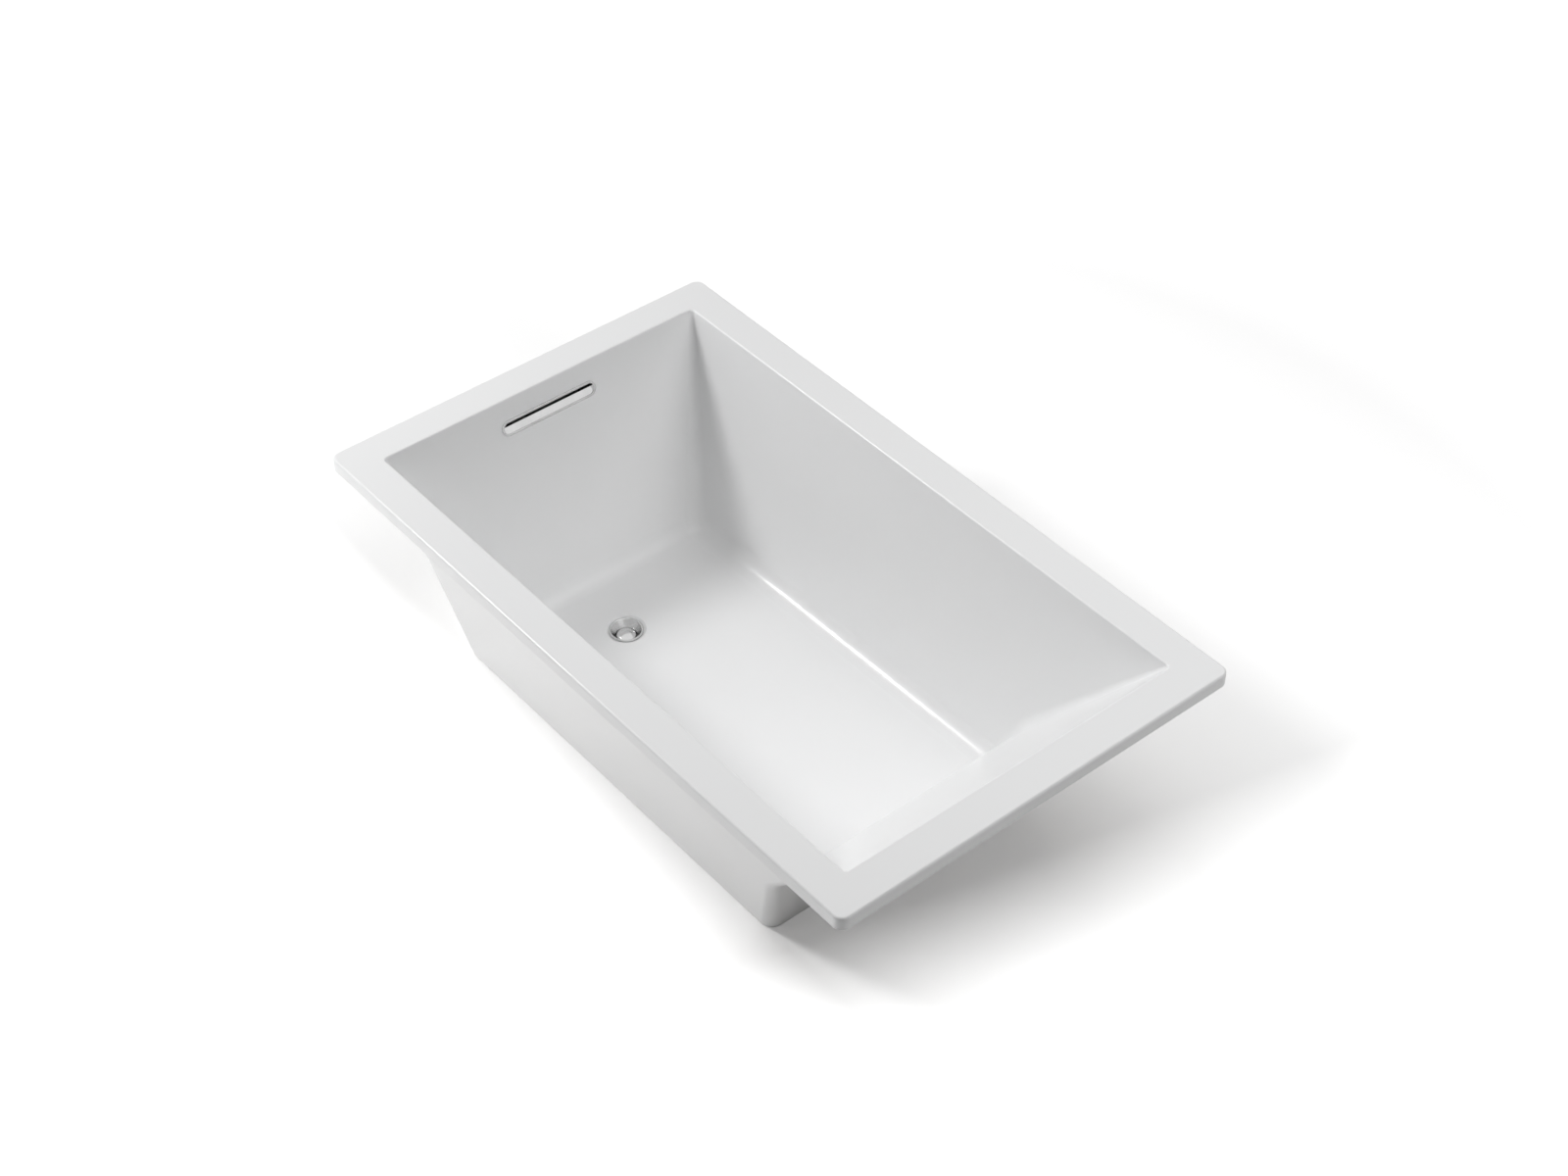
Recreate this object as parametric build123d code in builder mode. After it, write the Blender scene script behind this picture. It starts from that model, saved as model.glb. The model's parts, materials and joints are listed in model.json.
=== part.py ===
from build123d import *
import os
from math import atan, cos, radians, sin, sqrt, tan

# A rectangular self-rimming bath that rests on the ground on its tapered body and four levelling feet.
# +X points from the drain end to the backrest, +Y to the far long side and +Z up.
# The origin is on the ground, below the middle of the rim.

# ---------------------------------------------------------------- driving dimensions

# Rim
overall_length = 1524.0
overall_width = 914.4
overall_height = 520.0
rim_width = 76.2
rim_corner_radius = 20.0
rim_edge_radius = 5.0
lip_height = 28.0
opening_edge_radius = 4.0

# Basin walls, as drafts from the vertical and back angles from the horizontal
shell_wall = 4.0
side_draft = 12.0
drain_end_draft = 16.0
backrest_angle = 50.0
lower_back_angle = 74.0
lumbar_height = 200.0
lumbar_radius = 140.0
arc_steps = 6
floor_height = 70.0
floor_fall = 0.016
cove_radius = 40.0
corner_radius_top = 8.0
corner_radius_floor = 38.0

# Outer body, bonded to the back of the shell at the sides and steeper than it at the drain end
bond_gap = 0.3
body_wall = 3.9
body_end_draft = 9.0
body_corner_radius = 26.0
base_flange_width = 24.0
base_flange_thickness = 4.0
notch_length = 96.0
notch_width = 70.0
notch_height = 62.0
window_margin = 3.0

# Boards bonded under the rim
batten_width = 50.0
batten_thickness = 15.0

# Laminate, baseboard and rails, stacked under the floor and parallel to it
base_inset = 52.0
laminate_thickness = 3.0
board_thickness = 12.0
board_margin = 6.0
rail_width = 40.0
rail_height = 18.0
rail_wall = 2.0
rail_spacing = 340.0
rail_setback = 24.0
cap_plug_length = 14.0
cap_flange = 3.0
screw_radius = 2.5
screw_bite = 8.0
screw_head_radius = 5.0
screw_head_height = 2.5
screws_per_rail = 3

# Levelling feet
foot_setback = 70.0
stud_radius = 5.0
stud_thread_clearance = 0.05
stud_chamfer = 1.0
stud_hole_clearance = 1.5
stud_reserve = 9.0
hexagon_across_flats = 17.0
stud_hexagon_height = 3.0
rail_nut_height = 6.0
lock_nut_height = 4.0
seat_gap = 0.2
pad_radius = 22.0
pad_top_radius = 14.0
pad_height = 8.0
pad_socket_depth = 4.0

# Drain
drain_setback = 162.8
drain_y = -32.0
dish_radius = 43.0
dish_seat_radius = 37.0
dish_depth = 4.0
flange_radius = 36.0
flange_lip = 2.4
flange_seal_thickness = 1.0
bowl_radius = 32.0
throat_radius = 21.3
bowl_depth = 19.0
metal_wall = 2.0
bowl_clearance = 0.5
tail_radius = 22.0
tail_length = 16.0
boss_radius = 46.0
boss_depth = 7.0
cut_margin = 1.0
drain_gasket_thickness = 3.0

# Stopper, drawn open
stopper_travel = 8.0
seat_clearance = 0.35
cap_clearance = 1.5
cap_edge = 1.4
cap_dome = 6.0
cap_open_gap = 1.5
seal_height = 3.0
seal_inner_radius = 14.0
seal_clearance = 2.7
stem_radius = 3.0
stem_length = 25.0
running_clearance = 0.05
cartridge_radius = 5.5
cartridge_flange_radius = 7.5
cartridge_flange = 1.0
cartridge_length = 10.5
spider_height = 4.0
spider_arm = 3.0
hub_radius = 8.0

# Waste pipework
waste_height = 28.0
waste_pipe_radius = 19.0
overflow_pipe_radius = 16.0
pipe_wall = 2.0
socket_clearance = 0.05
socket_wall = 3.0
socket_depth = 20.0
shoe_wall = 3.0
shoe_flange_radius = 42.0
shoe_flange_thickness = 4.0
shoe_floor = 10.0
shoe_socket_reach = 62.0
tee_top = 78.0
tee_neck = 2.0
tee_crown = 1.5
trap_socket_bottom = 1.0
trap_socket_depth = 10.0
trap_bore_radius = 19.1
trap_socket_wall = 3.4
nut_wall = 3.3
nut_overlap = 12.0
nut_cap = 3.0
nut_ribs = 12
rib_radius = 1.2
washer_height = 5.0

# Overflow
overflow_drop = 58.0
trim_length = 232.0
trim_width = 34.0
trim_lip = 2.2
trim_lip_width = 3.5
trim_edge_radius = 0.7
trim_tube_wall = 1.5
trim_tube_depth = 22.0
tray_thickness = 1.6
tray_recess = 5.0
tray_proud = 0.6
slot_height = 10.5
wall_hole_clearance = 0.6
overflow_gasket_thickness = 2.0
gasket_margin = 11.0
housing_depth = 60.0
housing_wall = 2.5
housing_flange_thickness = 3.0
spigot_length = 44.0
clamp_screw_spacing = 170.0
clamp_screw_radius = 2.5
clamp_screw_head_radius = 4.5
clamp_screw_head = 3.0
clamp_boss_radius = 5.0
clamp_screw_bite = 20.0
screw_clearance = 0.1

# ---------------------------------------------------------------- derived places

opening_length = overall_length - 2 * rim_width
opening_width = overall_width - 2 * rim_width
body_offset = shell_wall + bond_gap
outer_offset = body_offset + body_wall
rim_underside = overall_height - shell_wall
lumbar_x = opening_length / 2 - (overall_height - lumbar_height) / tan(radians(backrest_angle))
half_bend = radians(lower_back_angle - backrest_angle) / 2
mean_back_angle = radians(backrest_angle + lower_back_angle) / 2
lumbar_centre_x = lumbar_x + lumbar_radius / cos(half_bend) * sin(mean_back_angle)
lumbar_centre_z = lumbar_height - lumbar_radius / cos(half_bend) * cos(mean_back_angle)


def side_reach(height, offset=0.0):
    """Half width between the long walls at a height, with the walls moved out by offset."""
    draft = radians(side_draft)
    return opening_width / 2 - (overall_height - height) * tan(draft) + offset / cos(draft)


def drain_reach(height, offset=0.0, end_draft=drain_end_draft):
    """Distance from the middle to the drain-end wall at a height, moved out by offset."""
    draft = radians(end_draft)
    return opening_length / 2 - (overall_height - height) * tan(draft) + offset / cos(draft)


def back_reach(height, offset=0.0):
    """Distance from the middle to the backrest: two planes joined by the lumbar arc."""
    upper = radians(backrest_angle)
    lower = radians(lower_back_angle)
    radius = lumbar_radius - offset
    rise = height - lumbar_centre_z
    if rise > radius * cos(upper):
        return lumbar_x + (height - lumbar_height) / tan(upper) + offset / sin(upper)
    if rise < radius * cos(lower):
        return lumbar_x + (height - lumbar_height) / tan(lower) + offset / sin(lower)
    return lumbar_centre_x - sqrt(radius**2 - rise**2)


def wall_radius(height, offset, floor_radius):
    """Radius of the upright corners, which grows from the rim to the floor."""
    share = (overall_height - height) / (overall_height - floor_height)
    return corner_radius_top + (floor_radius - corner_radius_top) * share + offset


drain_x = drain_setback - drain_reach(floor_height)
floor_angle = atan(floor_fall)


def floor_level(x, depth=0.0):
    """Height of the sloping floor at x, or of the plane that lies depth below it."""
    return floor_height + (x - drain_x) * floor_fall - depth / cos(floor_angle)


floor_plane = Plane(
    origin=(drain_x, 0, floor_height),
    x_dir=(cos(floor_angle), 0, sin(floor_angle)),
    z_dir=(-sin(floor_angle), 0, cos(floor_angle)),
)


def section_heights(bottom, top, offset):
    """Heights of the wall sections in three runs: the lower planes, the lumbar arc and the upper planes."""
    lower = lumbar_centre_z + (lumbar_radius - offset) * cos(radians(lower_back_angle))
    upper = lumbar_centre_z + (lumbar_radius - offset) * cos(radians(backrest_angle))
    arc = [lower + (upper - lower) * step / arc_steps for step in range(arc_steps + 1)]
    return [[bottom, lower], arc, [upper, top]]


def wall_solid(bottom, top, offset, floor_radius, end_draft=drain_end_draft):
    """Solid between the four walls, moved out by offset, from bottom to top."""
    with BuildPart() as walls:
        for run in section_heights(bottom, top, offset):
            for height in run:
                reach_back = back_reach(height, offset)
                reach_drain = drain_reach(height, offset, end_draft)
                with BuildSketch(Plane.XY.offset(height)):
                    with Locations(((reach_back - reach_drain) / 2, 0)):
                        RectangleRounded(
                            reach_back + reach_drain,
                            2 * side_reach(height, offset),
                            wall_radius(height, offset, floor_radius),
                        )
            loft(ruled=len(run) == 2)
    return walls.part


def basin_solid(top, offset):
    """Solid of the basin's hollow, with its sloping floor and cove, moved out by offset."""
    with BuildPart() as basin:
        add(wall_solid(floor_height / 2, top, offset, corner_radius_floor))
        split(bisect_by=floor_plane.offset(-offset), keep=Keep.TOP)
        floor_face = basin.faces().sort_by(Axis.Z)[0]
        fillet(floor_face.edges(), cove_radius + offset)
    return basin.part


# ---------------------------------------------------------------- shell

drain_axis = Axis((drain_x, drain_y, 0), (0, 0, 1))
drain_plane = Plane(origin=(drain_x, drain_y, 0), x_dir=(1, 0, 0), z_dir=(0, -1, 0))
seat_level = floor_height - dish_depth
boss_bottom = seat_level - boss_depth
bowl_slope = (bowl_radius - throat_radius) / bowl_depth
flange_top = seat_level + flange_seal_thickness + flange_lip


def bowl_reach(height, clearance=0.0):
    """Outside radius of the drain's tapered bowl at a height."""
    return bowl_radius - (flange_top - height) * bowl_slope + metal_wall + clearance


overflow_height = overall_height - overflow_drop
overflow_slope = radians(drain_end_draft)
overflow_plane = Plane(
    origin=(-drain_reach(overflow_height), 0, overflow_height),
    x_dir=(0, 1, 0),
    z_dir=(cos(overflow_slope), 0, sin(overflow_slope)),
)
tube_length = trim_length - 2 * trim_lip_width
tube_width = trim_width - 2 * trim_lip_width
wall_hole_length = tube_length + 2 * wall_hole_clearance
wall_hole_width = tube_width + 2 * wall_hole_clearance
gasket_length = trim_length + gasket_margin
gasket_width = trim_width + gasket_margin
housing_face = -shell_wall - overflow_gasket_thickness
housing_back = housing_face - housing_depth
tee_x = (housing_face + housing_back) / 2 * cos(overflow_slope) - drain_reach(overflow_height)

with BuildPart() as bath_shell:
    with BuildSketch(Plane.XY.offset(overall_height - lip_height)):
        RectangleRounded(overall_length, overall_width, rim_corner_radius)
    extrude(amount=lip_height)
    fillet(bath_shell.edges().group_by(Axis.Z)[-1], rim_edge_radius)
    with BuildSketch(Plane.XY.offset(overall_height - lip_height)):
        RectangleRounded(
            overall_length - 2 * shell_wall,
            overall_width - 2 * shell_wall,
            rim_corner_radius - shell_wall,
        )
    extrude(amount=lip_height - shell_wall, mode=Mode.SUBTRACT)
    add(basin_solid(overall_height - shell_wall / 2, shell_wall))
    with BuildSketch(Plane.XY.offset(boss_bottom)):
        with Locations((drain_x, drain_y)):
            Circle(boss_radius)
    extrude(amount=boss_depth)
    add(basin_solid(overall_height + shell_wall, 0), mode=Mode.SUBTRACT)
    opening_loop = bath_shell.faces().sort_by(Axis.Z)[-1].inner_wires()[0]
    fillet(opening_loop.edges(), opening_edge_radius)
    with BuildSketch(drain_plane):
        with BuildLine():
            Polyline(
                (0, boss_bottom - cut_margin),
                (bowl_reach(boss_bottom, bowl_clearance), boss_bottom - cut_margin),
                (bowl_reach(boss_bottom, bowl_clearance), boss_bottom),
                (bowl_reach(seat_level, bowl_clearance), seat_level),
                (dish_seat_radius, seat_level),
                (dish_radius, floor_height + cut_margin),
                (0, floor_height + cut_margin),
                close=True,
            )
        make_face()
    revolve(axis=drain_axis, mode=Mode.SUBTRACT)
    with BuildSketch(overflow_plane):
        SlotOverall(wall_hole_length, wall_hole_width)
    extrude(amount=2 * shell_wall, both=True, mode=Mode.SUBTRACT)

# ---------------------------------------------------------------- outer body

body_floor_radius = body_corner_radius - outer_offset
base_end_reach = drain_reach(0, 0, body_end_draft)
base_centre_x = (back_reach(0) - base_end_reach) / 2
base_size_x = back_reach(0) + base_end_reach
base_size_y = 2 * side_reach(0)

with BuildPart() as outer_body:
    add(wall_solid(0, rim_underside, outer_offset, body_floor_radius, body_end_draft))
    add(
        wall_solid(-body_wall, overall_height, body_offset, body_floor_radius, body_end_draft),
        mode=Mode.SUBTRACT,
    )
    with BuildSketch():
        with Locations((base_centre_x, 0)):
            RectangleRounded(
                base_size_x + body_offset + outer_offset,
                base_size_y + body_offset + outer_offset,
                wall_radius(0, body_offset, body_floor_radius),
            )
            Rectangle(base_size_x - 2 * base_flange_width, base_size_y - 2 * base_flange_width, mode=Mode.SUBTRACT)
    extrude(amount=base_flange_thickness)
    with Locations((-base_end_reach, drain_y, 0)):
        Box(notch_length, notch_width, 2 * notch_height, mode=Mode.SUBTRACT)
    with BuildSketch(overflow_plane):
        SlotOverall(gasket_length + 2 * window_margin, gasket_width + 2 * window_margin)
    extrude(amount=housing_back, mode=Mode.SUBTRACT)

# ---------------------------------------------------------------- boards under the rim

batten_outer_x = overall_length / 2 - shell_wall - bond_gap
batten_outer_y = overall_width / 2 - shell_wall - bond_gap
side_batten_y = batten_outer_y - batten_width / 2
end_batten_x = batten_outer_x - batten_width / 2
long_batten = 2 * (batten_outer_x - rim_corner_radius)
short_batten = 2 * (batten_outer_y - batten_width - bond_gap)


def rim_batten(x, y, size_x, size_y):
    """A board that lies against the underside of the rim."""
    with BuildPart() as batten:
        with BuildSketch(Plane.XY.offset(rim_underside)):
            with Locations((x, y)):
                Rectangle(size_x, size_y)
        extrude(amount=-batten_thickness)
    return batten


rim_batten_near = rim_batten(0, -side_batten_y, long_batten, batten_width)
rim_batten_far = rim_batten(0, side_batten_y, long_batten, batten_width)
rim_batten_drain_end = rim_batten(-end_batten_x, 0, batten_width, short_batten)
rim_batten_back_end = rim_batten(end_batten_x, 0, batten_width, short_batten)

# ---------------------------------------------------------------- laminate, board and rails

laminate_depth = shell_wall + bond_gap
board_depth = laminate_depth + laminate_thickness
rail_depth = board_depth + board_thickness
rail_bottom_depth = rail_depth + rail_height
base_start = -drain_reach(floor_height) + base_inset
base_end = back_reach(floor_height) - base_inset
base_middle = (base_start + base_end) / 2 - drain_x
base_length = base_end - base_start
base_half_width = side_reach(floor_height) - base_inset
rail_length = base_length - 2 * rail_setback
foot_x = [base_start + foot_setback, base_end - foot_setback]
rail_y = [-rail_spacing / 2, rail_spacing / 2]
screw_pitch = rail_length / (screws_per_rail + 1)
screw_x = [base_middle + screw_pitch * (step - (screws_per_rail - 1) / 2) for step in range(screws_per_rail)]
screw_places = [(x, y) for x in screw_x for y in rail_y]
drain_cut_radius = boss_radius + board_margin

with BuildPart() as floor_laminate:
    with BuildSketch(floor_plane.offset(-laminate_depth)):
        with Locations((base_middle, 0)):
            Rectangle(base_length, 2 * base_half_width)
        with Locations((0, drain_y)):
            Circle(boss_radius + bond_gap, mode=Mode.SUBTRACT)
    extrude(amount=-laminate_thickness)

with BuildPart() as baseboard:
    with BuildSketch(floor_plane.offset(-board_depth)):
        with Locations((base_middle, 0)):
            Rectangle(base_length - 2 * board_margin, 2 * (base_half_width - board_margin))
        with Locations((0, drain_y)):
            Circle(drain_cut_radius, mode=Mode.SUBTRACT)
        with Locations(((base_start - drain_x) / 2, drain_y)):
            Rectangle(drain_x - base_start, 2 * drain_cut_radius, mode=Mode.SUBTRACT)
    extrude(amount=-board_thickness)
    with BuildSketch(floor_plane.offset(-rail_depth)):
        with Locations(screw_places):
            Circle(screw_radius + screw_clearance)
    extrude(amount=screw_bite + screw_clearance, mode=Mode.SUBTRACT)


def support_rail(side_y):
    """A box rail below the baseboard, with holes for its screws and feet."""
    with BuildPart() as rail:
        with BuildSketch(floor_plane.offset(-rail_depth)):
            with Locations((base_middle, side_y)):
                Rectangle(rail_length, rail_width)
        extrude(amount=-rail_height)
        with BuildSketch(floor_plane.offset(-rail_depth - rail_wall)):
            with Locations((base_middle, side_y)):
                Rectangle(rail_length, rail_width - 2 * rail_wall)
        extrude(amount=2 * rail_wall - rail_height, mode=Mode.SUBTRACT)
        with BuildSketch(floor_plane.offset(-rail_depth)):
            with Locations([(x, side_y) for x in screw_x]):
                Circle(screw_radius + screw_clearance)
        extrude(amount=-rail_height, mode=Mode.SUBTRACT)
        with BuildSketch(floor_plane.offset(-rail_bottom_depth)):
            with Locations([(x - drain_x, side_y) for x in foot_x]):
                Circle(stud_radius + stud_hole_clearance)
        extrude(amount=rail_wall, mode=Mode.SUBTRACT)
    return rail


support_rail_near = support_rail(rail_y[0])
support_rail_far = support_rail(rail_y[1])

with BuildPart() as rail_end_caps:
    for end in (-1, 1):
        with BuildSketch(floor_plane.offset(-rail_depth)):
            with Locations([(base_middle + end * (rail_length + cap_flange) / 2, y) for y in rail_y]):
                Rectangle(cap_flange, rail_width)
        extrude(amount=-rail_height)
        with BuildSketch(floor_plane.offset(-rail_depth - rail_wall - seat_gap)):
            with Locations([(base_middle + end * (rail_length - cap_plug_length) / 2, y) for y in rail_y]):
                Rectangle(cap_plug_length, rail_width - 2 * (rail_wall + seat_gap))
        extrude(amount=2 * (rail_wall + seat_gap) - rail_height)

with BuildPart() as rail_screws:
    with BuildSketch(floor_plane.offset(-rail_bottom_depth)):
        with Locations(screw_places):
            Circle(screw_head_radius)
    extrude(amount=-screw_head_height)
    with BuildSketch(floor_plane.offset(-rail_bottom_depth)):
        with Locations(screw_places):
            Circle(screw_radius)
    extrude(amount=rail_height + screw_bite)

# ---------------------------------------------------------------- levelling feet

foot_places = [(x, y) for x in foot_x for y in rail_y]
nut_inscribed = hexagon_across_flats / 2


def rail_underside(x):
    """Height at which a nut sits below the sloping rail."""
    return floor_level(x, rail_bottom_depth) - nut_inscribed * floor_fall - seat_gap


def hexagon_nuts(drop, height):
    """Four nuts in line with the feet, the top of each lying drop below the rail."""
    with BuildPart() as nuts:
        for x, y in foot_places:
            with BuildSketch(Plane.XY.offset(rail_underside(x) - drop)):
                with Locations((x, y)):
                    RegularPolygon(nut_inscribed, 6, major_radius=False)
                    Circle(stud_radius + stud_thread_clearance, mode=Mode.SUBTRACT)
            extrude(amount=-height)
    return nuts


rail_nuts = hexagon_nuts(0, rail_nut_height)
lock_nuts = hexagon_nuts(rail_nut_height, lock_nut_height)


def foot_stud(x, y):
    """A threaded stud that stands in its pad and passes up through its nuts into the rail."""
    with BuildPart() as stud:
        with BuildSketch(Plane.XY.offset(pad_height - pad_socket_depth)):
            with Locations((x, y)):
                Circle(stud_radius)
        extrude(amount=rail_underside(x) + stud_reserve + pad_socket_depth - pad_height)
        chamfer(stud.edges().sort_by(Axis.Z)[-1], stud_chamfer)
        with BuildSketch(Plane.XY.offset(pad_height)):
            with Locations((x, y)):
                RegularPolygon(nut_inscribed, 6, major_radius=False)
        extrude(amount=stud_hexagon_height)
    return stud


def foot_pad(x, y):
    """A tapered rubber pad with a socket for its stud."""
    with BuildPart() as pad:
        with Locations((x, y, 0)):
            Cone(pad_radius, pad_top_radius, pad_height, align=(Align.CENTER, Align.CENTER, Align.MIN))
        with BuildSketch(Plane.XY.offset(pad_height)):
            with Locations((x, y)):
                Circle(stud_radius + running_clearance)
        extrude(amount=-pad_socket_depth, mode=Mode.SUBTRACT)
    return pad


foot_studs = [foot_stud(x, y) for x, y in foot_places]
foot_pads = [foot_pad(x, y) for x, y in foot_places]

# ---------------------------------------------------------------- drain

bowl_bottom = flange_top - bowl_depth
cap_radius = throat_radius - cap_clearance
cap_bottom = bowl_bottom + cap_open_gap
seal_bottom = cap_bottom - seal_height
seal_reach = throat_radius - seal_clearance
stop_radius = seal_reach - metal_wall / 2
stop_height = (throat_radius - stop_radius) / 2
throat_bottom = seal_bottom - stopper_travel - seat_clearance + seal_clearance / 2
tail_bottom = bowl_bottom - tail_length
spider_top = tail_bottom + spider_height

with BuildPart() as drain_flange:
    with BuildSketch(drain_plane):
        with BuildLine():
            Polyline(
                (flange_radius, flange_top - flange_lip),
                (flange_radius, flange_top - flange_lip / 2),
                (flange_radius - flange_lip / 2, flange_top),
                (bowl_radius + flange_lip / 4, flange_top),
                (bowl_radius - flange_lip / 4, flange_top - flange_lip / 2),
                (throat_radius, bowl_bottom),
                (throat_radius, throat_bottom),
                (stop_radius, throat_bottom - stop_height),
                (stop_radius, tail_bottom),
                (tail_radius, tail_bottom),
                (tail_radius, throat_bottom + stop_height),
                (bowl_reach(bowl_bottom), bowl_bottom),
                (bowl_reach(seat_level), seat_level),
                (bowl_reach(seat_level), flange_top - flange_lip),
                close=True,
            )
        make_face()
    revolve(axis=drain_axis)
    with BuildSketch(Plane.XY.offset(tail_bottom)):
        with Locations((drain_x, drain_y)):
            Rectangle(2 * stop_radius + metal_wall, spider_arm)
            Rectangle(spider_arm, 2 * stop_radius + metal_wall)
            Circle(hub_radius)
            Circle(cartridge_radius + running_clearance, mode=Mode.SUBTRACT)
    extrude(amount=spider_height)


def ring(bottom, height, inner, outer, x=drain_x, y=drain_y):
    """A flat ring on an upright axis."""
    with BuildPart() as washer:
        with BuildSketch(Plane.XY.offset(bottom)):
            with Locations((x, y)):
                Circle(outer)
                Circle(inner, mode=Mode.SUBTRACT)
        extrude(amount=height)
    return washer


flange_seal = ring(seat_level, flange_seal_thickness, bowl_reach(seat_level) + seat_gap, flange_radius)
shoe_top = boss_bottom - drain_gasket_thickness
shoe_mouth = bowl_reach(boss_bottom, bowl_clearance)
drain_gasket = ring(shoe_top, drain_gasket_thickness, shoe_mouth, shoe_flange_radius)

# ---------------------------------------------------------------- stopper

cartridge_top = spider_top + cartridge_flange
cartridge_bottom = cartridge_top - cartridge_length

with BuildPart() as stopper_cartridge:
    with BuildSketch(drain_plane):
        with BuildLine():
            Polyline(
                (stem_radius + running_clearance, cartridge_top),
                (cartridge_flange_radius, cartridge_top),
                (cartridge_flange_radius, spider_top),
                (cartridge_radius, spider_top),
                (cartridge_radius, cartridge_bottom),
                (stem_radius + running_clearance, cartridge_bottom),
                close=True,
            )
        make_face()
    revolve(axis=drain_axis)

with BuildPart() as stopper_stem:
    with BuildSketch(Plane.XY.offset(cap_bottom)):
        with Locations((drain_x, drain_y)):
            Circle(stem_radius)
    extrude(amount=-stem_length)

with BuildPart() as stopper_cap:
    with BuildSketch(drain_plane):
        with BuildLine():
            Line((0, cap_bottom), (cap_radius, cap_bottom))
            Line((cap_radius, cap_bottom), (cap_radius, cap_bottom + cap_edge))
            Spline(
                (cap_radius, cap_bottom + cap_edge),
                (0, cap_bottom + cap_edge + cap_dome),
                tangents=((-1, 1), (-1, 0)),
            )
            Line((0, cap_bottom + cap_edge + cap_dome), (0, cap_bottom))
        make_face()
    revolve(axis=drain_axis)

stopper_seal = ring(seal_bottom, seal_height, seal_inner_radius, seal_reach)

# ---------------------------------------------------------------- waste shoe, pipes and tee

pipe_outer = waste_pipe_radius + socket_clearance
fitting_radius = waste_pipe_radius + socket_clearance + socket_wall
overflow_fitting_radius = overflow_pipe_radius + socket_clearance + socket_wall
waste_bore = waste_pipe_radius - pipe_wall
overflow_bore = overflow_pipe_radius - pipe_wall
thread_bore = tail_radius + socket_clearance
shoe_chamber_top = throat_bottom + stop_height
shoe_outer = shoe_mouth + shoe_wall


def run_plane(x, y, z):
    """A plane across a pipe that runs towards the drain end."""
    return Plane(origin=(x, y, z), x_dir=(0, 1, 0), z_dir=(-1, 0, 0))


with BuildPart() as waste_shoe:
    with BuildSketch(Plane.XY.offset(shoe_floor)):
        with Locations((drain_x, drain_y)):
            Circle(shoe_outer)
    extrude(amount=shoe_top - shoe_floor)
    with BuildSketch(Plane.XY.offset(shoe_top)):
        with Locations((drain_x, drain_y)):
            Circle(shoe_flange_radius)
    extrude(amount=-shoe_flange_thickness)
    with BuildSketch(run_plane(drain_x, drain_y, waste_height)):
        Circle(fitting_radius)
    extrude(amount=shoe_socket_reach)
    with BuildSketch(Plane.XY.offset(shoe_floor + shoe_wall)):
        with Locations((drain_x, drain_y)):
            Circle(thread_bore)
    extrude(amount=shoe_top - shoe_floor, mode=Mode.SUBTRACT)
    with BuildSketch(Plane.XY.offset(shoe_chamber_top)):
        with Locations((drain_x, drain_y)):
            Circle(shoe_mouth)
    extrude(amount=shoe_top - shoe_chamber_top, mode=Mode.SUBTRACT)
    with BuildSketch(run_plane(drain_x, drain_y, waste_height)):
        Circle(waste_bore - bond_gap)
    extrude(amount=shoe_socket_reach, mode=Mode.SUBTRACT)
    with BuildSketch(run_plane(drain_x - shoe_socket_reach, drain_y, waste_height)):
        Circle(pipe_outer)
    extrude(amount=-socket_depth, mode=Mode.SUBTRACT)

trap_outer = trap_bore_radius + trap_socket_wall
tee_inlet_reach = socket_depth + tee_neck + trap_outer
tee_face_x = tee_x + tee_inlet_reach
waste_pipe_start = drain_x - shoe_socket_reach + socket_depth
waste_pipe_length = waste_pipe_start - (tee_face_x - socket_depth)

with BuildPart() as waste_pipe:
    with BuildSketch(run_plane(waste_pipe_start, drain_y, waste_height)):
        Circle(waste_pipe_radius)
        Circle(waste_bore, mode=Mode.SUBTRACT)
    extrude(amount=waste_pipe_length)

with BuildPart() as waste_tee:
    with BuildSketch(run_plane(tee_face_x, drain_y, waste_height)):
        Circle(fitting_radius)
    extrude(amount=tee_inlet_reach)
    with BuildSketch(Plane.XY.offset(trap_socket_bottom)):
        with Locations((tee_x, drain_y)):
            Circle(trap_outer)
    extrude(amount=waste_height + fitting_radius + tee_crown - trap_socket_bottom)
    with BuildSketch(Plane.XY.offset(waste_height)):
        with Locations((tee_x, drain_y)):
            Circle(overflow_fitting_radius)
    extrude(amount=tee_top - waste_height)
    with BuildSketch(run_plane(tee_face_x, drain_y, waste_height)):
        Circle(pipe_outer)
    extrude(amount=socket_depth, mode=Mode.SUBTRACT)
    with BuildSketch(run_plane(tee_face_x, drain_y, waste_height)):
        Circle(waste_bore - bond_gap)
    extrude(amount=tee_inlet_reach, mode=Mode.SUBTRACT)
    with BuildSketch(Plane.XY.offset(trap_socket_bottom)):
        with Locations((tee_x, drain_y)):
            Circle(trap_bore_radius)
    extrude(amount=trap_socket_depth, mode=Mode.SUBTRACT)
    with BuildSketch(Plane.XY.offset(trap_socket_bottom)):
        with Locations((tee_x, drain_y)):
            Circle(waste_bore)
    extrude(amount=waste_height + waste_bore - trap_socket_bottom, mode=Mode.SUBTRACT)
    with BuildSketch(Plane.XY.offset(waste_height)):
        with Locations((tee_x, drain_y)):
            Circle(overflow_bore - bond_gap)
    extrude(amount=tee_top - waste_height, mode=Mode.SUBTRACT)
    with BuildSketch(Plane.XY.offset(tee_top)):
        with Locations((tee_x, drain_y)):
            Circle(overflow_pipe_radius + socket_clearance)
    extrude(amount=-socket_depth, mode=Mode.SUBTRACT)

# ---------------------------------------------------------------- slip joints

nut_length = nut_overlap + washer_height + nut_cap


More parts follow.
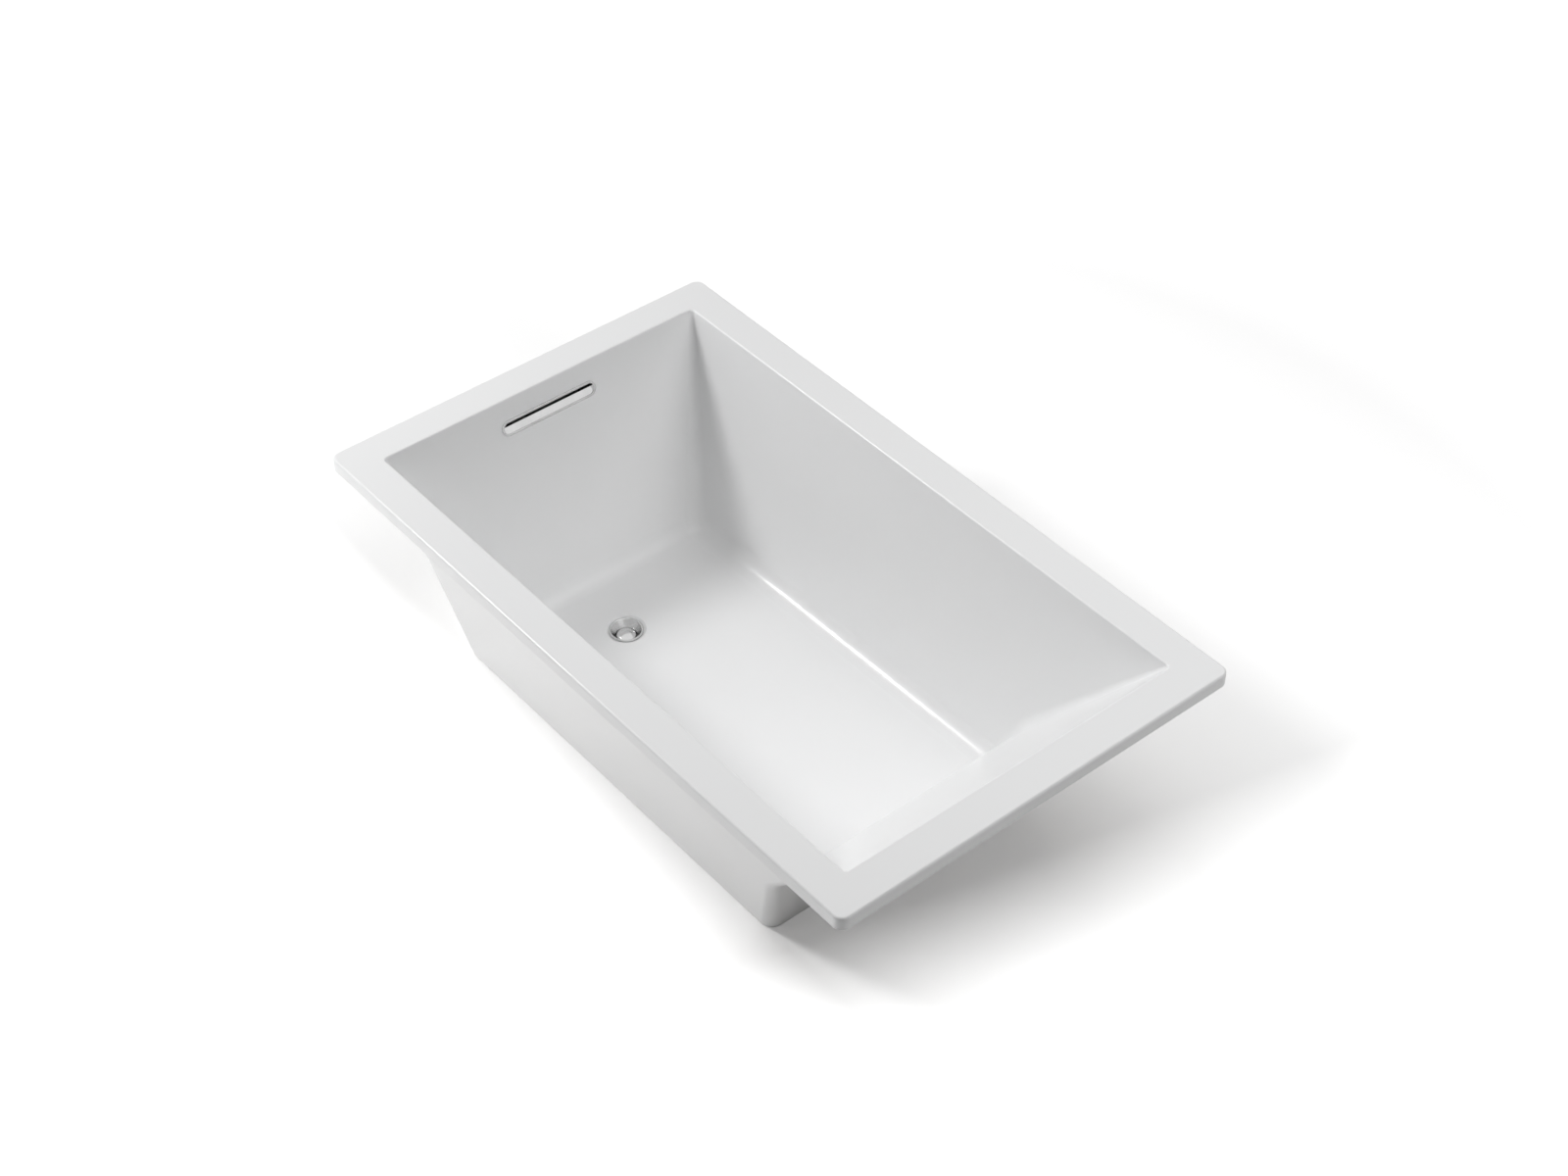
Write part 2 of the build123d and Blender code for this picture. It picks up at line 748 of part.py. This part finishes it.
def slip_nut(mouth, fitting, pipe):
    """A ribbed nut screwed over the mouth of a fitting, with a hole for the pipe that enters it."""
    with BuildPart() as nut:
        with BuildSketch(mouth.offset(-nut_overlap)):
            Circle(fitting + socket_clearance + nut_wall)
            with PolarLocations(fitting + socket_clearance + nut_wall, nut_ribs):
                Circle(rib_radius)
        extrude(amount=nut_length)
        with BuildSketch(mouth.offset(-nut_overlap)):
            Circle(fitting + socket_clearance)
        extrude(amount=nut_overlap + washer_height, mode=Mode.SUBTRACT)
        with BuildSketch(mouth.offset(washer_height)):
            Circle(pipe + bond_gap)
        extrude(amount=nut_cap, mode=Mode.SUBTRACT)
    return nut


def slip_washer(mouth, fitting, pipe):
    """The soft washer between the mouth of a fitting and its slip nut."""
    with BuildPart() as washer:
        with BuildSketch(mouth):
            Circle(fitting)
            Circle(pipe + socket_clearance, mode=Mode.SUBTRACT)
        extrude(amount=washer_height)
    return washer


# ---------------------------------------------------------------- overflow

housing_inner_length = tube_length + 2 * wall_hole_clearance
housing_inner_width = tube_width + 2 * wall_hole_clearance
tube_inner_length = tube_length - 2 * trim_tube_wall
tube_inner_width = tube_width - 2 * trim_tube_wall
tray_bottom = -tube_inner_width / 2
tray_top = tube_inner_width / 2 - slot_height
tray_slope = (tray_recess + tray_proud) / (tray_top - tray_bottom)
screw_v = (tray_top + tray_bottom) / 2
clamp_places = [(-clamp_screw_spacing / 2, screw_v), (clamp_screw_spacing / 2, screw_v)]
tray_plane = Plane(origin=overflow_plane.origin, x_dir=overflow_plane.y_dir, z_dir=overflow_plane.x_dir)
spigot_bottom = overflow_height - housing_inner_width / 2 - spigot_length


def overflow_tray():
    """The sloping plate below the overflow slot, with the two screw bosses behind it."""
    with BuildPart() as tray:
        with BuildSketch(tray_plane):
            with BuildLine():
                Polyline(
                    (tray_top, -tray_recess),
                    (tray_bottom - trim_tube_wall, tray_proud + trim_tube_wall * tray_slope),
                    (tray_bottom - trim_tube_wall, tray_proud + trim_tube_wall * tray_slope - tray_thickness),
                    (tray_top, -tray_recess - tray_thickness),
                    close=True,
                )
            make_face()
        extrude(amount=tube_length / 2, both=True)
        with BuildSketch(overflow_plane.offset(housing_back + housing_wall + seat_gap)):
            with Locations(clamp_places):
                Circle(clamp_boss_radius)
        extrude(amount=-housing_back)
        with BuildSketch(tray_plane):
            with BuildLine():
                Polyline(
                    (tray_top, -tray_recess),
                    (tray_bottom - trim_tube_wall, tray_proud + trim_tube_wall * tray_slope),
                    (tray_bottom - trim_tube_wall, -housing_back),
                    (tray_top, -housing_back),
                    close=True,
                )
            make_face()
        extrude(amount=tube_length / 2, both=True, mode=Mode.SUBTRACT)
        with BuildSketch(overflow_plane.offset(housing_back)):
            SlotOverall(tube_length - trim_tube_wall, tube_width - trim_tube_wall)
        extrude(amount=-2 * housing_back, mode=Mode.INTERSECT)
        with BuildSketch(overflow_plane.offset(housing_back + housing_wall + seat_gap)):
            with Locations(clamp_places):
                Circle(clamp_screw_radius + screw_clearance)
        extrude(amount=clamp_screw_bite + screw_clearance, mode=Mode.SUBTRACT)
    return tray.part


tray_solid = overflow_tray()

with BuildPart() as overflow_trim:
    with BuildSketch(overflow_plane.offset(bond_gap)):
        SlotOverall(trim_length, trim_width)
    extrude(amount=trim_lip)
    lip_front = overflow_trim.faces().sort_by(Axis(overflow_plane.origin, overflow_plane.z_dir))[-1]
    fillet(lip_front.edges(), trim_edge_radius)
    with BuildSketch(overflow_plane.offset(bond_gap)):
        SlotOverall(tube_length, tube_width)
    extrude(amount=-trim_tube_depth)
    with BuildSketch(overflow_plane.offset(-trim_tube_depth)):
        SlotOverall(tube_inner_length, tube_inner_width)
    extrude(amount=2 * trim_tube_depth, both=True, mode=Mode.SUBTRACT)
    add(tray_solid)

with BuildPart() as overflow_gasket:
    with BuildSketch(overflow_plane.offset(housing_face)):
        SlotOverall(gasket_length, gasket_width)
        SlotOverall(wall_hole_length, wall_hole_width, mode=Mode.SUBTRACT)
    extrude(amount=overflow_gasket_thickness)

with BuildPart() as overflow_housing:
    with BuildSketch(overflow_plane.offset(housing_back)):
        SlotOverall(housing_inner_length + 2 * housing_wall, housing_inner_width + 2 * housing_wall)
    extrude(amount=housing_depth)
    with BuildSketch(overflow_plane.offset(housing_face)):
        SlotOverall(gasket_length, gasket_width)
    extrude(amount=-housing_flange_thickness)
    with BuildSketch(Plane.XY.offset(spigot_bottom)):
        with Locations((tee_x, drain_y)):
            Circle(overflow_fitting_radius)
    extrude(amount=spigot_length + housing_inner_width / 2)
    with BuildSketch(overflow_plane.offset(housing_back + housing_wall)):
        SlotOverall(housing_inner_length, housing_inner_width)
    extrude(amount=housing_depth, mode=Mode.SUBTRACT)
    with BuildSketch(Plane.XY.offset(spigot_bottom)):
        with Locations((tee_x, drain_y)):
            Circle(overflow_bore - bond_gap)
    extrude(amount=spigot_length + housing_inner_width / 2, mode=Mode.SUBTRACT)
    with BuildSketch(Plane.XY.offset(spigot_bottom)):
        with Locations((tee_x, drain_y)):
            Circle(overflow_pipe_radius + socket_clearance)
    extrude(amount=socket_depth, mode=Mode.SUBTRACT)
    with BuildSketch(overflow_plane.offset(housing_back)):
        with Locations(clamp_places):
            Circle(clamp_screw_radius + screw_clearance)
    extrude(amount=housing_wall, mode=Mode.SUBTRACT)

with BuildPart() as overflow_screws:
    with BuildSketch(overflow_plane.offset(housing_back)):
        with Locations(clamp_places):
            Circle(clamp_screw_head_radius)
    extrude(amount=-clamp_screw_head)
    with BuildSketch(overflow_plane.offset(housing_back)):
        with Locations(clamp_places):
            Circle(clamp_screw_radius)
    extrude(amount=housing_wall + clamp_screw_bite)

with BuildPart() as overflow_pipe:
    with BuildSketch(Plane.XY.offset(tee_top - socket_depth)):
        with Locations((tee_x, drain_y)):
            Circle(overflow_pipe_radius)
            Circle(overflow_bore, mode=Mode.SUBTRACT)
    extrude(amount=spigot_bottom - tee_top + 2 * socket_depth)

tee_side_mouth = Plane(origin=(tee_face_x, drain_y, waste_height), x_dir=(0, 1, 0), z_dir=(1, 0, 0))
tee_top_mouth = Plane(origin=(tee_x, drain_y, tee_top))
spigot_mouth = Plane(origin=(tee_x, drain_y, spigot_bottom), z_dir=(0, 0, -1))

# ---------------------------------------------------------------- finished pieces

pieces = {
    "bath_shell": bath_shell,
    "outer_body": outer_body,
    "rim_batten_near": rim_batten_near,
    "rim_batten_far": rim_batten_far,
    "rim_batten_drain_end": rim_batten_drain_end,
    "rim_batten_back_end": rim_batten_back_end,
    "floor_laminate": floor_laminate,
    "baseboard": baseboard,
    "support_rail_near": support_rail_near,
    "support_rail_far": support_rail_far,
    "rail_end_caps": rail_end_caps,
    "rail_screws": rail_screws,
    "rail_nuts": rail_nuts,
    "lock_nuts": lock_nuts,
    "drain_flange": drain_flange,
    "flange_seal": flange_seal,
    "drain_gasket": drain_gasket,
    "stopper_cartridge": stopper_cartridge,
    "stopper_stem": stopper_stem,
    "stopper_seal": stopper_seal,
    "stopper_cap": stopper_cap,
    "waste_shoe": waste_shoe,
    "waste_pipe": waste_pipe,
    "waste_tee": waste_tee,
    "tee_side_nut": slip_nut(tee_side_mouth, fitting_radius, waste_pipe_radius),
    "tee_side_washer": slip_washer(tee_side_mouth, fitting_radius, waste_pipe_radius),
    "tee_top_nut": slip_nut(tee_top_mouth, overflow_fitting_radius, overflow_pipe_radius),
    "tee_top_washer": slip_washer(tee_top_mouth, overflow_fitting_radius, overflow_pipe_radius),
    "overflow_pipe": overflow_pipe,
    "overflow_nut": slip_nut(spigot_mouth, overflow_fitting_radius, overflow_pipe_radius),
    "overflow_washer": slip_washer(spigot_mouth, overflow_fitting_radius, overflow_pipe_radius),
    "overflow_housing": overflow_housing,
    "overflow_gasket": overflow_gasket,
    "overflow_trim": overflow_trim,
    "overflow_screws": overflow_screws,
}
for number, (stud, pad) in enumerate(zip(foot_studs, foot_pads), start=1):
    pieces[f"foot_stud_{number}"] = stud
    pieces[f"foot_pad_{number}"] = pad

os.makedirs("parts", exist_ok=True)
for name, piece in pieces.items():
    piece.part.label = name
    export_step(piece.part, f"parts/{name}.step")
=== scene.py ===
"""A rectangular bath with a wide flat rim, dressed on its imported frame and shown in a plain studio."""

import json
import math

import bpy
from mathutils import Matrix, Vector

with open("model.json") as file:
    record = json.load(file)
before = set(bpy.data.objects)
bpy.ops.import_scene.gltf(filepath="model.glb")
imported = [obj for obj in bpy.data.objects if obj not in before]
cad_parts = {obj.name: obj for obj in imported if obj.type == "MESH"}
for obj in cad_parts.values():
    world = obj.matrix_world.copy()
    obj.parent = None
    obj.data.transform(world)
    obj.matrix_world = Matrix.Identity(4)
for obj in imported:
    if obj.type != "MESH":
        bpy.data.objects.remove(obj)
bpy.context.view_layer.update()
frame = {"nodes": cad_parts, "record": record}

NODES = frame["nodes"]

# ---------------------------------------------------------------- stage and camera

CAMERA_PLACE = (2.8462, -2.3372, 3.8425)
CAMERA_AZIMUTH = 50.823
CAMERA_ELEVATION = 42.687
CAMERA_ROLL = -0.173
CAMERA_LENS = 61.28
CAMERA_SHIFT_X = 0.0200
SENSOR_WIDTH = 36.0

FLOOR_SIZE = 60.0
FLOOR_DROP = 0.0005
FLOOR_GREY = 0.95
BACKGROUND_GREY = 1.0
WHITE = (1.0, 1.0, 1.0, 1.0)

# The floor glows a little for the rays that show it, so that it fades to white around the bath's shadow.
# It glows evenly by BACKGROUND_LIFT, more along each slope (direction along the floor, where the slope
# starts and ends along it, in metres, and how much it adds), and more with the distance from the origin.
BACKGROUND_LIFT = 0.12
LIFT_SLOPES = (
    ((1.0, -0.25, 0.0), 0.49, 0.74, 0.5),
    ((0.0, 1.0, 0.0), 0.45, 1.10, 0.3),
    ((0.0, -1.0, 0.0), 0.28, 0.38, 0.4),
)
LIFT_FAR = (1.8, 3.5, 0.88)

WORLD_STRENGTH = 0.0

# name, place, the point that it faces, width, watts, whether reflections show it
LAMPS = (
    ("key", (-2.684, -2.026, 3.22), (0.0, 0.0, 0.3), 0.9, 80.0, True),
    ("overhead", (1.0, 0.6, 3.2), (0.4, 0.0, 0.0), 2.4, 29.0, False),
    ("back_fill", (1.5, 1.2, 2.8), (0.2, 0.0, 0.2), 2.4, 24.0, False),
    ("left_fill", (-3.2, 0.0, 1.6), (0.0, 0.0, 0.4), 2.4, 36.0, False),
    ("low_fill", (-1.6, -3.0, 0.8), (0.0, 0.0, 0.3), 1.6, 17.0, False),
)

# ---------------------------------------------------------------- node helpers


class Shader:
    """A material's node tree, with short calls for the nodes that the materials share."""

    def __init__(self, name):
        self.material = bpy.data.materials.new(name)
        self.material.use_nodes = True
        self.tree = self.material.node_tree
        self.surface = self.tree.nodes["Principled BSDF"]
        self.place = self.node("ShaderNodeTexCoord").outputs["Object"]

    def node(self, kind, **settings):
        made = self.tree.nodes.new(kind)
        for key, value in settings.items():
            setattr(made, key, value)
        return made

    def link(self, source, target):
        self.tree.links.new(source, target)

    def scaled_place(self, x, y, z):
        mapping = self.node("ShaderNodeMapping")
        mapping.inputs["Scale"].default_value = (x, y, z)
        self.link(self.place, mapping.inputs["Vector"])
        return mapping.outputs["Vector"]

    def noise(self, scale, detail=2.0, place=None):
        made = self.node("ShaderNodeTexNoise")
        made.inputs["Scale"].default_value = scale
        made.inputs["Detail"].default_value = detail
        self.link(place or self.place, made.inputs["Vector"])
        return made.outputs["Fac"]

    def cells(self, scale):
        made = self.node("ShaderNodeTexVoronoi")
        made.inputs["Scale"].default_value = scale
        self.link(self.place, made.inputs["Vector"])
        return made.outputs["Distance"]

    def spread(self, value, low, high, start=0.3, end=0.7):
        """Maps value from start..end to low..high."""
        made = self.node("ShaderNodeMapRange")
        for key, number in (("From Min", start), ("From Max", end), ("To Min", low), ("To Max", high)):
            made.inputs[key].default_value = number
        self.link(value, made.inputs["Value"])
        return made.outputs["Result"]

    def ramp(self, value, stops):
        made = self.node("ShaderNodeValToRGB")
        elements = made.color_ramp.elements
        while len(elements) < len(stops):
            elements.new(0.5)
        for element, (position, color) in zip(elements, stops):
            element.position = position
            element.color = (*color, 1.0)
        self.link(value, made.inputs["Fac"])
        return made.outputs["Color"]

    def combined(self, operation, first, second):
        made = self.node("ShaderNodeMath", operation=operation)
        self.link(first, made.inputs[0])
        self.link(second, made.inputs[1])
        return made.outputs["Value"]

    def bump(self, height, strength, distance):
        made = self.node("ShaderNodeBump")
        made.inputs["Strength"].default_value = strength
        made.inputs["Distance"].default_value = distance
        self.link(height, made.inputs["Height"])
        return made.outputs["Normal"]

    def finish(self, color, roughness=None, normal=None, **constants):
        """Feeds the surface with what varies over it, and sets the rest on its own sockets."""
        for socket, source in (("Base Color", color), ("Roughness", roughness), ("Normal", normal)):
            if source is not None:
                self.link(source, self.surface.inputs[socket])
        for name, value in constants.items():
            self.surface.inputs[name.replace("_", " ")].default_value = value
        return self.material


def grey(value, warmth=0.0):
    """A near-neutral colour, a little warmer or cooler."""
    return (value * (1 + warmth), value, value * (1 - warmth))


# ---------------------------------------------------------------- materials


def acrylic(name, shade, roughness):
    """Thick glossy sheet: soft drifts in tone, faint orange peel and uneven polish."""
    s = Shader(name)
    drift = s.noise(scale=1.6, detail=3.0)
    color = s.ramp(drift, [(0.25, grey(shade - 0.010, -0.003)), (0.75, grey(shade + 0.006, -0.001))])
    polish = s.spread(s.noise(scale=9.0, detail=4.0), low=roughness - 0.02, high=roughness + 0.03)
    normal = s.bump(s.noise(scale=140.0, detail=1.0), strength=0.002, distance=0.0002)
    return s.finish(color, polish, normal, Coat_Weight=0.3, Coat_Roughness=0.14, Specular_IOR_Level=0.45)


def metal(name, shade, roughness, grain=0.0, tint=(1.0, 1.0, 1.0)):
    """Plated or bare metal with uneven polish, and a brushed grain where grain is set."""
    s = Shader(name)
    tones = [(p, tuple(v * t for t in tint)) for p, v in ((0.2, shade - 0.05), (0.8, shade + 0.03))]
    color = s.ramp(s.noise(scale=28.0, detail=4.0), tones)
    finish = s.spread(s.noise(scale=160.0, detail=3.0), low=roughness * 0.7, high=roughness * 1.4)
    strokes = s.noise(scale=90.0, detail=2.0, place=s.scaled_place(2.0, 30.0, 30.0))
    normal = s.bump(strokes, strength=0.02 + grain, distance=0.0004)
    return s.finish(color, finish, normal, Metallic=1.0)


def galvanised(name):
    """Zinc spangle: crystals of slightly different greys."""
    s = Shader(name)
    crystals = s.cells(scale=150.0)
    color = s.ramp(crystals, [(0.0, grey(0.42)), (0.5, grey(0.56, -0.01)), (1.0, grey(0.66, -0.015))])
    finish = s.spread(s.noise(scale=60.0, detail=3.0), low=0.34, high=0.52)
    normal = s.bump(crystals, strength=0.06, distance=0.0006)
    return s.finish(color, finish, normal, Metallic=1.0)


def timber(name, light, dark, stretch):
    """Sawn board with long grain. The pattern is squeezed across the grain by stretch, along x, y and z."""
    s = Shader(name)
    grain = s.noise(scale=14.0, detail=6.0, place=s.scaled_place(*stretch))
    fine = s.noise(scale=120.0, detail=3.0, place=s.scaled_place(*stretch))
    color = s.ramp(grain, [(0.3, dark), (0.5, light), (0.72, tuple(0.85 * v for v in light))])
    rough = s.spread(fine, low=0.62, high=0.82)
    normal = s.bump(fine, strength=0.35, distance=0.0008)
    return s.finish(color, rough, normal, Specular_IOR_Level=0.25)


def laminate(name):
    """Sprayed glass and resin: crossing strands under an uneven gloss."""
    s = Shader(name)
    along = s.noise(scale=60.0, detail=5.0, place=s.scaled_place(0.6, 9.0, 4.0))
    across = s.noise(scale=60.0, detail=5.0, place=s.scaled_place(9.0, 0.6, 4.0))
    strands = s.combined("MAXIMUM", along, across)
    color = s.ramp(strands, [(0.4, (0.60, 0.56, 0.42)), (0.62, (0.74, 0.71, 0.60))])
    rough = s.spread(strands, low=0.3, high=0.6)
    return s.finish(color, rough, s.bump(strands, strength=0.4, distance=0.0015))


def moulded(name, shade, roughness, warmth=0.0):
    """Moulded plastic pipe and fittings: fine texture and faint flow marks."""
    s = Shader(name)
    flow = s.noise(scale=12.0, detail=3.0)
    color = s.ramp(flow, [(0.3, grey(shade * 0.95, warmth)), (0.7, grey(shade * 1.03, warmth))])
    rough = s.spread(s.noise(scale=80.0, detail=3.0), low=roughness - 0.05, high=roughness + 0.08)
    texture = s.noise(scale=600.0, detail=2.0)
    return s.finish(color, rough, s.bump(texture, strength=0.12, distance=0.0003))


def rubber(name):
    """Black rubber with a dusty bloom."""
    s = Shader(name)
    bloom = s.noise(scale=40.0, detail=5.0)
    color = s.ramp(bloom, [(0.35, grey(0.025)), (0.75, grey(0.055, 0.02))])
    rough = s.spread(s.noise(scale=200.0, detail=3.0), low=0.55, high=0.78)
    normal = s.bump(s.noise(scale=900.0, detail=2.0), strength=0.2, distance=0.0003)
    return s.finish(color, rough, normal, Specular_IOR_Level=0.3)


MATERIALS = {
    "white_acrylic": acrylic("white_acrylic", shade=0.90, roughness=0.32),
    "white_gelcoat": acrylic("white_gelcoat", shade=0.90, roughness=0.32),
    "glass_laminate": laminate("glass_laminate"),
    "timber_board": timber(
        "timber_board", light=(0.56, 0.42, 0.27), dark=(0.42, 0.29, 0.17), stretch=(1.0, 12.0, 12.0)
    ),
    "galvanised_steel": galvanised("galvanised_steel"),
    "zinc_steel": metal("zinc_steel", shade=0.62, roughness=0.3, grain=0.08, tint=(1.0, 1.0, 0.96)),
    "chrome": metal("chrome", shade=0.66, roughness=0.17),
    "brass": metal("brass", shade=0.80, roughness=0.22, grain=0.04, tint=(0.90, 0.72, 0.42)),
    "black_rubber": rubber("black_rubber"),
    "grey_plastic": moulded("grey_plastic", shade=0.22, roughness=0.42),
    "white_pipe": moulded("white_pipe", shade=0.80, roughness=0.34, warmth=0.01),
}
for entry in frame["record"]["subparts"]:
    piece = NODES[entry["node"]]
    piece.data.materials.clear()
    piece.data.materials.append(MATERIALS[entry["material_slot"]])

# ---------------------------------------------------------------- floor, light and camera


def seen_directly(tree):
    """1 for the rays that show the background: from the camera, a reflection or glass. 0 for all others."""
    path = tree.nodes.new("ShaderNodeLightPath")
    total = path.outputs["Is Camera Ray"]
    for name in ("Is Glossy Ray", "Is Transmission Ray"):
        joined = tree.nodes.new("ShaderNodeMath")
        joined.operation = "MAXIMUM"
        tree.links.new(total, joined.inputs[0])
        tree.links.new(path.outputs[name], joined.inputs[1])
        total = joined.outputs["Value"]
    return total


def stage_floor():
    """A white floor that keeps the bath's shadow and fades to white around it."""
    bpy.ops.mesh.primitive_plane_add(size=FLOOR_SIZE, location=(0.0, 0.0, -FLOOR_DROP))
    floor = bpy.context.object
    floor.name = "studio_floor"
    s = Shader("studio_floor")
    seen = seen_directly(s.tree)
    color = s.ramp(seen, [(0.0, grey(FLOOR_GREY)), (1.0, grey(BACKGROUND_GREY))])
    lift = s.spread(seen, low=0.0, high=BACKGROUND_LIFT, start=0.0, end=1.0)
    for direction, start, end, amount in LIFT_SLOPES:
        along = s.node("ShaderNodeVectorMath", operation="DOT_PRODUCT")
        along.inputs[1].default_value = direction
        s.link(s.place, along.inputs[0])
        lift = s.combined("ADD", lift, s.spread(along.outputs["Value"], 0.0, amount, start, end))
    distance = s.node("ShaderNodeVectorMath", operation="LENGTH")
    s.link(s.place, distance.inputs[0])
    start, end, amount = LIFT_FAR
    lift = s.combined("ADD", lift, s.spread(distance.outputs["Value"], 0.0, amount, start, end))
    lift = s.spread(lift, low=0.0, high=1.0, start=0.0, end=1.0)
    s.surface.inputs["Emission Color"].default_value = WHITE
    s.link(s.combined("MULTIPLY", lift, seen), s.surface.inputs["Emission Strength"])
    s.finish(color, Roughness=0.9, Specular_IOR_Level=0.0)
    floor.data.materials.append(s.material)


def studio_world():
    """White where it is seen, and no light of its own on the bath."""
    world = bpy.data.worlds.new("studio")
    bpy.context.scene.world = world
    world.use_nodes = True
    tree = world.node_tree
    background = tree.nodes["Background"]
    background.inputs["Color"].default_value = WHITE
    strength = tree.nodes.new("ShaderNodeMapRange")
    strength.inputs["To Min"].default_value = WORLD_STRENGTH
    strength.inputs["To Max"].default_value = 1.0
    tree.links.new(seen_directly(tree), strength.inputs["Value"])
    tree.links.new(strength.outputs["Result"], background.inputs["Strength"])


def lamp(name, place, target, width, watts, in_reflections):
    """A round soft lamp at place that faces target."""
    light = bpy.data.lights.new(name, "AREA")
    light.shape = "DISK"
    light.size = width
    light.energy = watts
    holder = bpy.data.objects.new(name, light)
    holder.location = place
    holder.rotation_euler = (Vector(place) - Vector(target)).to_track_quat("Z", "Y").to_euler()
    holder.visible_glossy = in_reflections
    bpy.context.collection.objects.link(holder)


def studio_camera():
    """The camera turns about the vertical, tilts down from the horizon and rolls, in that order."""
    camera = bpy.data.cameras.new("camera")
    camera.sensor_fit = "HORIZONTAL"
    camera.sensor_width = SENSOR_WIDTH
    camera.lens = CAMERA_LENS
    camera.shift_x = CAMERA_SHIFT_X
    holder = bpy.data.objects.new("camera", camera)
    turn = Matrix.Rotation(math.radians(CAMERA_AZIMUTH), 4, "Z")
    tilt = Matrix.Rotation(math.radians(90.0 - CAMERA_ELEVATION), 4, "X")
    roll = Matrix.Rotation(math.radians(CAMERA_ROLL), 4, "Z")
    holder.matrix_world = Matrix.Translation(CAMERA_PLACE) @ turn @ tilt @ roll
    bpy.context.collection.objects.link(holder)
    bpy.context.scene.camera = holder


stage_floor()
studio_world()
for settings in LAMPS:
    lamp(*settings)
studio_camera()
bpy.context.scene.view_settings.view_transform = "Standard"
